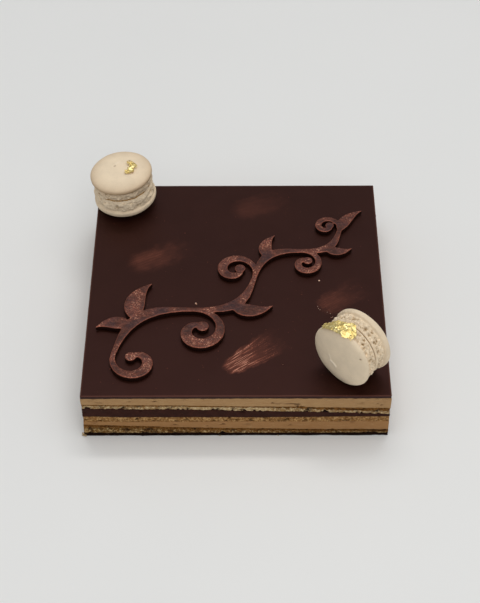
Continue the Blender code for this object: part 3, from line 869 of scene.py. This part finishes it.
class CAKE_OT_scroll(bpy.types.Operator):
    """Builds the cast chocolate scroll that lies on the glaze"""

    bl_idname = "cake.scroll"
    bl_label = "Chocolate scroll"

    def execute(self, context):
        sizes = context.scene.cake_sizes
        scroll = copy_of("chocolate_scroll", "scroll_dusted")
        low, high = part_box("chocolate_scroll")
        modify(scroll, "REMESH", mode="VOXEL", voxel_size=sizes.scroll_grain)
        modify(scroll, "SMOOTH", factor=0.5, iterations=5)
        place = points(scroll.data)
        weigh(scroll, "underside", np.clip((low.z + 0.8 * MM - place[:, 2]) / (0.7 * MM), 0, 1))
        push(scroll, low.z - CAKE_TOP, "Z", "underside", middle=2.0)
        top = np.clip((place[:, 2] - low.z) / (high.z - low.z), 0, 1)
        weigh(scroll, "upper", top)
        push(scroll, 0.55 * MM, "Z", "upper")
        push(scroll, 0.3 * MM, "NORMAL", "upper", grain("cast lumps", "CLOUDS", 3.2, noise_depth=2), 0.75)
        hand_over(scroll, scroll_material(context.scene.cake_colours), "dusted_chocolate", "chocolate_scroll", angle=70)
        return {"FINISHED"}


# ------------------------------------------------------------------ macarons

FOOT_SHARE = 0.95  # radius of a foot over that of its shell
RIM_RISE = 0.28  # height of the widest ring over that of the dome
SQUEEZE = 0.15  # how far a shell's flat face sinks into the cream (mm)

# Small marks on the domes, in the macaron's own frame (mm): the line that each
# follows, its half width, and how far it rises (a run of sugar, made paler by a
# painted highlight) or sinks (a nick, darker).
DOME_MARKS = {
    "macaron_front_upper": (
        (((0.8, -5.9), (2.4, -5.1), (3.6, -4.7), (4.3, -3.6)), 0.5, 0.22),
        (((4.0, -4.2), (4.6, -2.9), (5.0, -1.9), (6.2, -1.0)), 0.7, 0.45),
        (((-8.9, 13.0), (-8.8, 13.4)), 0.45, -0.45),
    ),
    "macaron_back_upper": (
        (((-3.5, 2.1), (-3.1, 2.6)), 0.6, -0.25),
        (((-2.8, 3.9), (-2.1, 5.1), (-0.6, 5.5), (0.8, 4.6)), 0.6, 0.2),
    ),
}

# Shell: radius, foot height, dome height (mm), turn of its lumps (degrees),
# fullness of the dome, how much painted shade darkens its dome toward the edge.
# Foot: how much lumps, froth and pits count, and how much they reach the face
# that meets the cream.
MACARONS = {
    "macaron_back": {
        "turn": (0, math.radians(-5.2), 0),
        "filling": 1.4,
        "foot": (2.0, 0.35, 0.5, 0.5),
        "lower": (18.0, 6.8, 6.4, 40, 2.4, 0.18),
        "upper": (17.8, 5.0, 5.6, 0, 2.5, 0.85),
    },
    "macaron_front": {
        "turn": (0, math.pi / 2, math.radians(-133.5)),
        "filling": 1.2,
        "foot": (1.25, 1.35, 0.62, 0.25),
        "lower": (18.0, 5.4, 6.8, 110, 2.5, 0.1),
        "upper": (18.0, 5.9, 5.2, 200, 2.5, 0.06),
    },
}


def shell_profile(radius, foot, dome, full):
    """Radius and height of the shell's outline, from its flat face to its crown."""
    step = radius * FOOT_SHARE
    rim = foot + RIM_RISE * dome
    knots = [
        (0.0, -SQUEEZE),
        (step - 1.2, -SQUEEZE),
        (step - 0.4, 0.09 * foot),
        (step + 0.1, 0.3 * foot),
        (step + 0.25, 0.6 * foot),
        (step - 0.1, 0.88 * foot),
        (step - 0.6, foot),
        (0.98 * radius, foot + 0.08 * dome),
        (radius * 0.997, foot + 0.19 * dome),
    ]
    for i in range(91):
        angle = math.radians(i)
        knots.append(
            (
                radius * max(0.0, math.cos(angle)) ** (2 / full),
                rim + (foot + dome - rim) * math.sin(angle) ** (2 / full),
            )
        )
    knots[-1] = (0.0, foot + dome)
    # The outline is drawn again in even steps, finer on the foot than elsewhere.
    line, left = [knots[0]], 0.0
    for (r0, z0), (r1, z1) in zip(knots, knots[1:]):
        length = math.hypot(r1 - r0, z1 - z0)
        pace = 0.25 if 0 <= z0 < foot + 0.2 * dome and r0 > step - 0.6 else 0.4
        pace = 2.5 if z1 < 0 else pace
        at = pace - left
        while at < length:
            line.append((r0 + (r1 - r0) * at / length, z0 + (z1 - z0) * at / length))
            at += pace
        left = length - (at - pace)
        if left > pace:
            left = 0.0
    while line[-1][0] < 0.15:
        line.pop()
    return line + [knots[-1]]


def spin_outline(name, outline, steps):
    """Draws an outline point by point and spins it round the upright axis."""
    deselect()
    bpy.ops.mesh.primitive_plane_add(size=1 * MM, location=(0, 0, 0))
    piece = bpy.context.object
    piece.name = piece.data.name = name
    edit(piece)
    bpy.ops.mesh.merge(type="CENTER")
    bpy.ops.transform.translate(value=(outline[0][0] * MM, 0, outline[0][1] * MM))
    for (r0, z0), (r1, z1) in zip(outline, outline[1:]):
        bpy.ops.mesh.extrude_region_move(
            TRANSFORM_OT_translate={"value": ((r1 - r0) * MM, 0, (z1 - z0) * MM)}
        )
    bpy.ops.mesh.select_all(action="SELECT")
    bpy.ops.mesh.spin(steps=steps, angle=math.tau, center=(0, 0, 0), axis=(0, 0, 1))
    bpy.ops.mesh.select_all(action="SELECT")
    bpy.ops.mesh.remove_doubles(threshold=0.01 * MM)
    bpy.ops.mesh.normals_make_consistent(inside=False)
    return done()


def put(piece, matrix):
    """Moves a piece into its place, and keeps the place in its mesh."""
    only(piece)
    piece.matrix_world = matrix
    bpy.ops.object.transform_apply(location=True, rotation=True, scale=True)


def macaron_place(name):
    low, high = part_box(name + "_filling")
    middle = (low + high) / 2 - Vector((0, 0, 0.3 * MM))

    return Matrix.Translation(middle) @ Euler(MACARONS[name]["turn"]).to_matrix().to_4x4()


class CAKE_OT_macarons(bpy.types.Operator):
    """Builds the two macarons: four shells and the cream between them"""

    bl_idname = "cake.macarons"
    bl_label = "Macarons"

    def execute(self, context):
        sizes, colours = context.scene.cake_sizes, context.scene.cake_colours
        shell_stuff, cream = macaron_material(colours), filling_material(colours)
        grains = {
            "dome": grain("oven unevenness", "CLOUDS", 14, noise_depth=1),
            "lumps": grain("foot lumps", "CLOUDS", 3.4, noise_depth=2),
            "froth": grain("foot froth", "VORONOI", 1.9, weight_1=1.0),
            "bubbles": pores("burst bubbles", 2.9, 0.36),
            "small bubbles": pores("small burst bubbles", 1.5, 0.4),
        }
        for name, parts in MACARONS.items():
            place = macaron_place(name)
            for half, flip in (("lower", math.pi), ("upper", 0)):
                radius, foot, dome, turn, full, dome_edge_shade = parts[half]
                outline = shell_profile(radius, foot, dome, full)
                shell = spin_outline(f"{name}_{half}", outline, sizes.shell_steps)
                self.froth(shell, foot, dome, dome_edge_shade, parts["foot"], sizes, grains)
                put(shell, Matrix.Rotation(math.radians(turn), 4, "Z"))
                self.mark(shell, DOME_MARKS.get(f"{name}_{half}", ()), foot)
                lift = Matrix.Translation((0, 0, parts["filling"] / 2 * MM))
                put(shell, place @ Matrix.Rotation(flip, 4, "X") @ lift)
                hand_over(shell, shell_stuff, "macaron_shell", f"{name}_{half}_shell", angle=80)
            self.cream(name, parts, place, cream, grains)
        return {"FINISHED"}

    def froth(self, shell, foot, dome, dome_edge_shade, kind, sizes, grains):
        """Roughens the foot, leaves the dome nearly smooth, and notes how deep each pit is."""
        place = points(shell.data)
        z, radius = place[:, 2] / MM, np.hypot(place[:, 0], place[:, 1]) / MM
        rim = np.clip((radius - 14.5) / 1.5, 0, 1)
        lumps, froth, pits, near = kind
        band = rim * np.clip(z + near, 0.12, 1) * np.clip((foot + 0.15 - z) / 0.6, 0, 1)
        lip = 0.2 * rim * np.clip(1 - np.abs(z - foot - 0.12 * dome) / (0.2 * dome), 0, 1)
        weigh(shell, "foot", np.maximum(band, lip))
        weigh(shell, "dome", np.clip((z - foot) / 2, 0, 1))
        push(shell, 0.5 * MM, "NORMAL", "dome", grains["dome"], 1.0)
        before = points(shell.data)
        push(shell, lumps * sizes.foot_lumps, "NORMAL", "foot", grains["lumps"], 0.6)
        push(shell, -froth * sizes.foot_lumps, "NORMAL", "foot", grains["froth"], 0.25)
        push(shell, -pits * sizes.foot_pits, "NORMAL", "foot", grains["bubbles"])
        push(shell, -0.7 * pits * sizes.foot_pits, "NORMAL", "foot", grains["small bubbles"])
        after = points(shell.data)
        sink = (np.hypot(before[:, 0], before[:, 1]) - np.hypot(after[:, 0], after[:, 1])) / MM
        note(shell, "sink", np.clip(sink, 0, 3))
        note(shell, "frill", band)
        # Painted shade on the dome's side toward its edge, for the material to darken.
        up = (z - foot) / dome
        note(shell, "dome_edge_shade", dome_edge_shade * np.clip((0.95 - up) / 0.75, 0, 1) * np.clip(0.5 + 5 * up, 0.25, 1))

    def mark(self, shell, marks, foot):
        """Raises the runs of sugar and sinks the nicks on a dome."""
        place = points(shell.data) / MM
        stain_and_hole_shade, painted_highlight = np.zeros(len(place)), np.zeros(len(place))
        for line, wide, rise in marks:
            near = np.full(len(place), 9.0)
            for a, b in zip(line, line[1:]):
                start, run = np.array(a), np.array(b) - np.array(a)
                share = np.clip(((place[:, :2] - start) @ run) / (run @ run), 0, 1)
                near = np.minimum(near, np.hypot(*(place[:, :2] - start - share[:, None] * run).T))
            there = np.clip(1.3 - near / wide, 0, 1) * (place[:, 2] > foot)
            # A raised run of sugar gets a painted highlight.
            if rise > 0:
                painted_highlight = np.maximum(painted_highlight, there * rise)
            else:
                stain_and_hole_shade = np.maximum(stain_and_hole_shade, there * min(1, -1.7 * rise))
            shell.vertex_groups.clear()
            weigh(shell, "mark", there)
            push(shell, rise * MM, "NORMAL", "mark")
        note(shell, "stain_and_hole_shade", stain_and_hole_shade)
        note(shell, "painted_highlight", painted_highlight)

    def cream(self, name, parts, place, material, grains):
        low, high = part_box(name + "_filling")
        radius = (0.84 if name == "macaron_front" else 0.895) * parts["upper"][0]
        half = parts["filling"] / 2 - 0.1
        outline = [(0.0, -half)] + [(r, -half) for r in (8, 14)]
        outline += [(radius - 0.5 + 0.5 * math.cos(a), half * math.sin(a)) for a in np.linspace(-1.5, 1.5, 7)]
        outline += [(r, half) for r in (14, 8)] + [(0.0, half)]
        disc = spin_outline(name + "_cream", outline, 160)
        where = points(disc.data)
        weigh(disc, "edge", np.clip((np.hypot(where[:, 0], where[:, 1]) / MM - 14) / 1.5, 0, 1))
        push(disc, 1.1 * MM, "NORMAL", "edge", grains["lumps"], 0.75)
        put(disc, place)
        hand_over(disc, material, "macaron_filling", name + "_filling", angle=60)


# ----------------------------------------------------------------- gold leaf


class CAKE_OT_gold(bpy.types.Operator):
    """Builds the crumpled gold leaf on both macarons"""

    bl_idname = "cake.gold"
    bl_label = "Gold leaf"

    def execute(self, context):
        sizes = context.scene.cake_sizes
        material = gold_material(context.scene.cake_colours)
        crumple = grain("crumple", "VORONOI", 3.8, distance_metric="DISTANCE", weight_1=-1.0, weight_2=1.0)
        crease = grain("crease", "CLOUDS", 1.1, noise_depth=3, noise_type="HARD_NOISE")
        for which in ("back", "front"):
            node = "gold_leaf_" + which
            centre = macaron_place("macaron_" + which).translation
            leaf = copy_of(node, f"leaf_{which}")
            edit(leaf)
            pick(
                "FACE",
                lambda f: (f.calc_center_median() - centre).normalized().dot(f.normal) < 0.35,
            )
            bpy.ops.mesh.delete(type="FACE")
            bpy.ops.mesh.select_all(action="SELECT")
            bpy.ops.mesh.subdivide(number_cuts=5)
            done()
            if which == "front":
                self.drape(leaf)
            self.tear(leaf, which)
            push(leaf, sizes.leaf_crumple, "NORMAL", "", crumple, 0.3)
            push(leaf, 0.7 * sizes.leaf_crumple, "NORMAL", "", crease, 0.4)
            modify(leaf, "SOLIDIFY", thickness=sizes.leaf, offset=0.0)
            hand_over(leaf, material, "gold_leaf", node, angle=25)
        return {"FINISHED"}

    def drape(self, leaf):
        """Draws one end of the front leaf back over the macaron's foot."""
        place = macaron_place("macaron_front")
        own = place.inverted()

        def rear_end(v):
            spot = own @ v.co
            side = math.degrees(math.atan2(spot.y, spot.x)) % 360
            return v.is_boundary and 157 < side < 176 and spot.z < 8 * MM

        edit(leaf)
        pick("VERT", rear_end)
        bpy.ops.transform.translate(
            value=place.to_3x3() @ Vector((0, 0, -3.6 * MM)),
            use_proportional_edit=True,
            proportional_edit_falloff="SMOOTH",
            proportional_size=5 * MM,
        )
        done()

    def tear(self, leaf, which):
        """Takes scattered faces off the leaf's edges, as torn leaf has."""
        dice = random.Random("torn " + which)
        for _ in range(4):
            edit(leaf)
            chosen = set()
            shape = bmesh.from_edit_mesh(leaf.data)
            for f in shape.faces:
                if any(e.is_boundary for e in f.edges) and dice.random() < 0.22:
                    chosen.add(f.index)
            if chosen:
                pick("FACE", lambda f: f.index in chosen)
                bpy.ops.mesh.delete(type="FACE")
            done()


# -------------------------------------------------------------------- crumbs


class CAKE_OT_crumbs(bpy.types.Operator):
    """Scatters a few crumbs and chips round the foot of the cake"""

    bl_idname = "cake.crumbs"
    bl_label = "Crumbs"

    # Crumb: place along both sides, height of its middle, size (all mm).
    SPONGE = (
        (-80.2, -80.3, 0.9, 0.7), (-79.2, -80.5, 0.7, 0.55), (-80.7, -79.2, 0.8, 0.6),
        (-81.0, -80.3, 0.6, 0.4), (-80.3, -80.4, 1.9, 0.45), (-8.5, -80.7, 0.6, 0.42),
        (22.0, -80.6, 0.5, 0.33), (-81.0, -40.0, 0.8, 0.6), (-81.2, 12.0, 0.7, 0.5),
        (-30.0, 81.0, 0.8, 0.6), (34.0, 81.2, 0.7, 0.5), (-81.3, 55.0, 0.6, 0.45),
        (66.0, 81.1, 0.6, 0.4), (-60.0, 81.6, 0.7, 0.5),
    )  # fmt: skip
    CHIPS = (
        (-51.7, -80.2, 1.0, 0.5), (-49.1, -80.4, 0.65, 0.45), (-46.8, -80.2, 0.8, 0.4),
        (-62.0, -80.2, 0.6, 0.35), (41.0, -80.2, 0.6, 0.35), (-80.3, -20.0, 0.6, 0.4),
        (10.0, 80.3, 0.6, 0.4), (50.0, 80.4, 0.6, 0.4), (-80.4, 33.0, 0.6, 0.4),
    )  # fmt: skip
    SPECKS = (
        (-21.7, -15.0, 32.0, 0.62), (45.5, 2.1, 31.95, 0.5), (44.0, -17.1, 31.85, 0.2),
        (45.2, -19.5, 31.85, 0.22), (46.2, -17.7, 31.85, 0.16), (50.7, -22.4, 31.85, 0.2),
        (51.9, -24.8, 31.85, 0.22), (49.0, -21.3, 31.85, 0.15), (51.0, -25.4, 31.85, 0.24), (44.6, -18.6, 31.85, 0.26),
        (24.5, -58.4, 31.85, 0.2),
    )  # fmt: skip

    def execute(self, context):
        colours = context.scene.cake_colours
        for name, table, slot, make in (
            ("crumbs_sponge", self.SPONGE, "sponge", sponge_crumb_material),
            ("chips_chocolate", self.CHIPS, "chocolate_base", couverture_material),
            ("specks_lustre", self.SPECKS, "dusted_chocolate", lustre_material),
        ):
            dice = random.Random(name)
            deselect()
            bpy.ops.mesh.primitive_ico_sphere_add(subdivisions=3, radius=1 * MM, location=(0, 0, 0))
            first = context.object
            edit(first)
            bpy.ops.transform.resize(value=(1.2, 0.95, 0.7))
            done()
            copies = []
            for x, y, z, size in table:
                one = bpy.data.objects.new(name, first.data.copy())
                context.scene.collection.objects.link(one)
                tilt = (dice.random() * 0.4, dice.random() * 0.4, 1)
                spin = Matrix.Rotation(dice.uniform(0, math.tau), 4, tilt)
                put(one, Matrix.Translation(Vector((x, y, z)) * MM) @ spin @ Matrix.Scale(size, 4))
                copies.append(one)
            bpy.data.objects.remove(first)
            only(copies[0])
            for one in copies[1:]:
                one.select_set(True)
            bpy.ops.object.join()
            heap = context.object
            heap.name = heap.data.name = name
            push(heap, 0.35 * MM, "NORMAL", "", grain(name, "CLOUDS", 0.7, noise_depth=2), 0.6)
            hand_over(heap, make(colours), slot)
        return {"FINISHED"}


def sponge_crumb_material(colours):
    # The same almond sponge, in loose crumbs: paler, dry and matt.
    r = Recipe("almond_sponge_crumb", **{"Roughness": 0.95, "Specular IOR Level": 0.15})
    base = r.blend(
        r.between(noise_of(r, 0.6, 3), 0.4, 0.65), tuple(colours.sponge), linear("#D9C7A0")
    )
    return r.finish(base, normal=r.bump(noise_of(r, 0.35, 3), 0.1, 0.8))


def lustre_material(colours):
    # A clot of copper lustre dust that fell from the brush.
    r = Recipe("copper_lustre_clot", **{"Metallic": 0.4, "Roughness": 0.5})
    base = r.blend(
        r.between(noise_of(r, 0.5, 2), 0.4, 0.6), linear("#C98A68"), linear("#EBCBB4")
    )
    return r.finish(base, normal=r.bump(noise_of(r, 0.3, 2), 0.1, 0.6))


# --------------------------------------------------------------------- stage


class CAKE_OT_stage(bpy.types.Operator):
    """Lays the pale floor, hangs the soft light and sets the camera"""

    bl_idname = "cake.stage"
    bl_label = "Floor, light and camera"

    def execute(self, context):
        deselect()
        bpy.ops.mesh.primitive_circle_add(vertices=96, radius=4, fill_type="NGON", location=(0, 0, 0))
        floor = context.object
        floor.name = floor.data.name = "studio_floor"
        floor.data.materials.append(floor_material(context.scene.cake_colours))
        world = bpy.data.worlds.new("studio air")
        world.use_nodes = True
        air = world.node_tree.nodes["Background"]
        air.inputs[0].default_value = (0.97, 0.985, 1.0, 1)
        air.inputs[1].default_value = 0.33
        context.scene.world = world
        self.lamp("key", (0.1, 1.38, 3.17), 20, (2.4, 0.4), (1.0, 0.975, 0.95))
        self.lamp("ceiling", (0.2, -0.12, 1.65), 11.7, (1.9, 1.9), (1.0, 0.985, 0.97))
        self.lamp("fill", (0.25, -1.5, 1.5), 7.4, (1.3, 1.3), (1.0, 0.965, 0.945))
        context.scene.view_settings.view_transform = "Standard"
        self.camera(context)
        return {"FINISHED"}

    def lamp(self, name, place, power, size, colour):
        """A rectangular soft light that faces the cake."""
        light = bpy.data.lights.new(name, "AREA")
        light.shape, light.energy, light.color = "RECTANGLE", power, colour
        light.size, light.size_y = size
        lamp = bpy.data.objects.new(name, light)
        bpy.context.scene.collection.objects.link(lamp)
        lamp.location = place
        lamp.rotation_euler = (-Vector(place)).to_track_quat("-Z", "Y").to_euler()

    def camera(self, context):
        pitch, yaw, roll = (math.radians(a) for a in (46.76, -0.34, -0.38))
        aim, far = Vector((0.00192, 0.01664, 0)), 0.85088
        ahead = Vector(
            (math.sin(yaw) * math.cos(pitch), math.cos(yaw) * math.cos(pitch), -math.sin(pitch))
        )
        right = Vector((math.cos(yaw), -math.sin(yaw), 0))
        up = right.cross(ahead)
        right, up = (
            math.cos(roll) * right + math.sin(roll) * up,
            math.cos(roll) * up - math.sin(roll) * right,
        )
        eye = bpy.data.cameras.new("camera")
        eye.lens, eye.sensor_width, eye.clip_start = 88.89, 36, 0.01
        camera = bpy.data.objects.new("camera", eye)
        context.scene.collection.objects.link(camera)
        turn = Matrix((right, up, -ahead)).transposed().to_4x4()
        camera.matrix_world = Matrix.Translation(aim - ahead * far) @ turn
        context.scene.camera = camera


# --------------------------------------------------------------------- panel

STEPS = (
    CAKE_OT_layers,
    CAKE_OT_glaze,
    CAKE_OT_scroll,
    CAKE_OT_macarons,
    CAKE_OT_gold,
    CAKE_OT_crumbs,
    CAKE_OT_stage,
)


class CAKE_PT_panel(bpy.types.Panel):
    """Lists the steps that build the cake"""

    bl_label = "Opera cake"
    bl_idname = "CAKE_PT_panel"
    bl_space_type = "VIEW_3D"
    bl_region_type = "UI"
    bl_category = "Cake"

    def draw(self, context):
        for group in (context.scene.cake_sizes, context.scene.cake_colours):
            box = self.layout.box()
            for name in group.__annotations__:
                box.prop(group, name)
        for step in STEPS:
            self.layout.operator(step.bl_idname)


CLASSES = (CakeSizes, CakeColours, *STEPS, CAKE_PT_panel)


def register():
    for one in CLASSES:
        bpy.utils.register_class(one)
    bpy.types.Scene.cake_sizes = PointerProperty(type=CakeSizes)
    bpy.types.Scene.cake_colours = PointerProperty(type=CakeColours)


def unregister():
    del bpy.types.Scene.cake_colours
    del bpy.types.Scene.cake_sizes
    for one in reversed(CLASSES):
        bpy.utils.unregister_class(one)


def main():
    register()
    bpy.ops.cake.layers()
    bpy.ops.cake.glaze()
    bpy.ops.cake.scroll()
    bpy.ops.cake.macarons()
    bpy.ops.cake.gold()
    bpy.ops.cake.crumbs()
    bpy.ops.cake.stage()


if __name__ == "__main__":
    main()
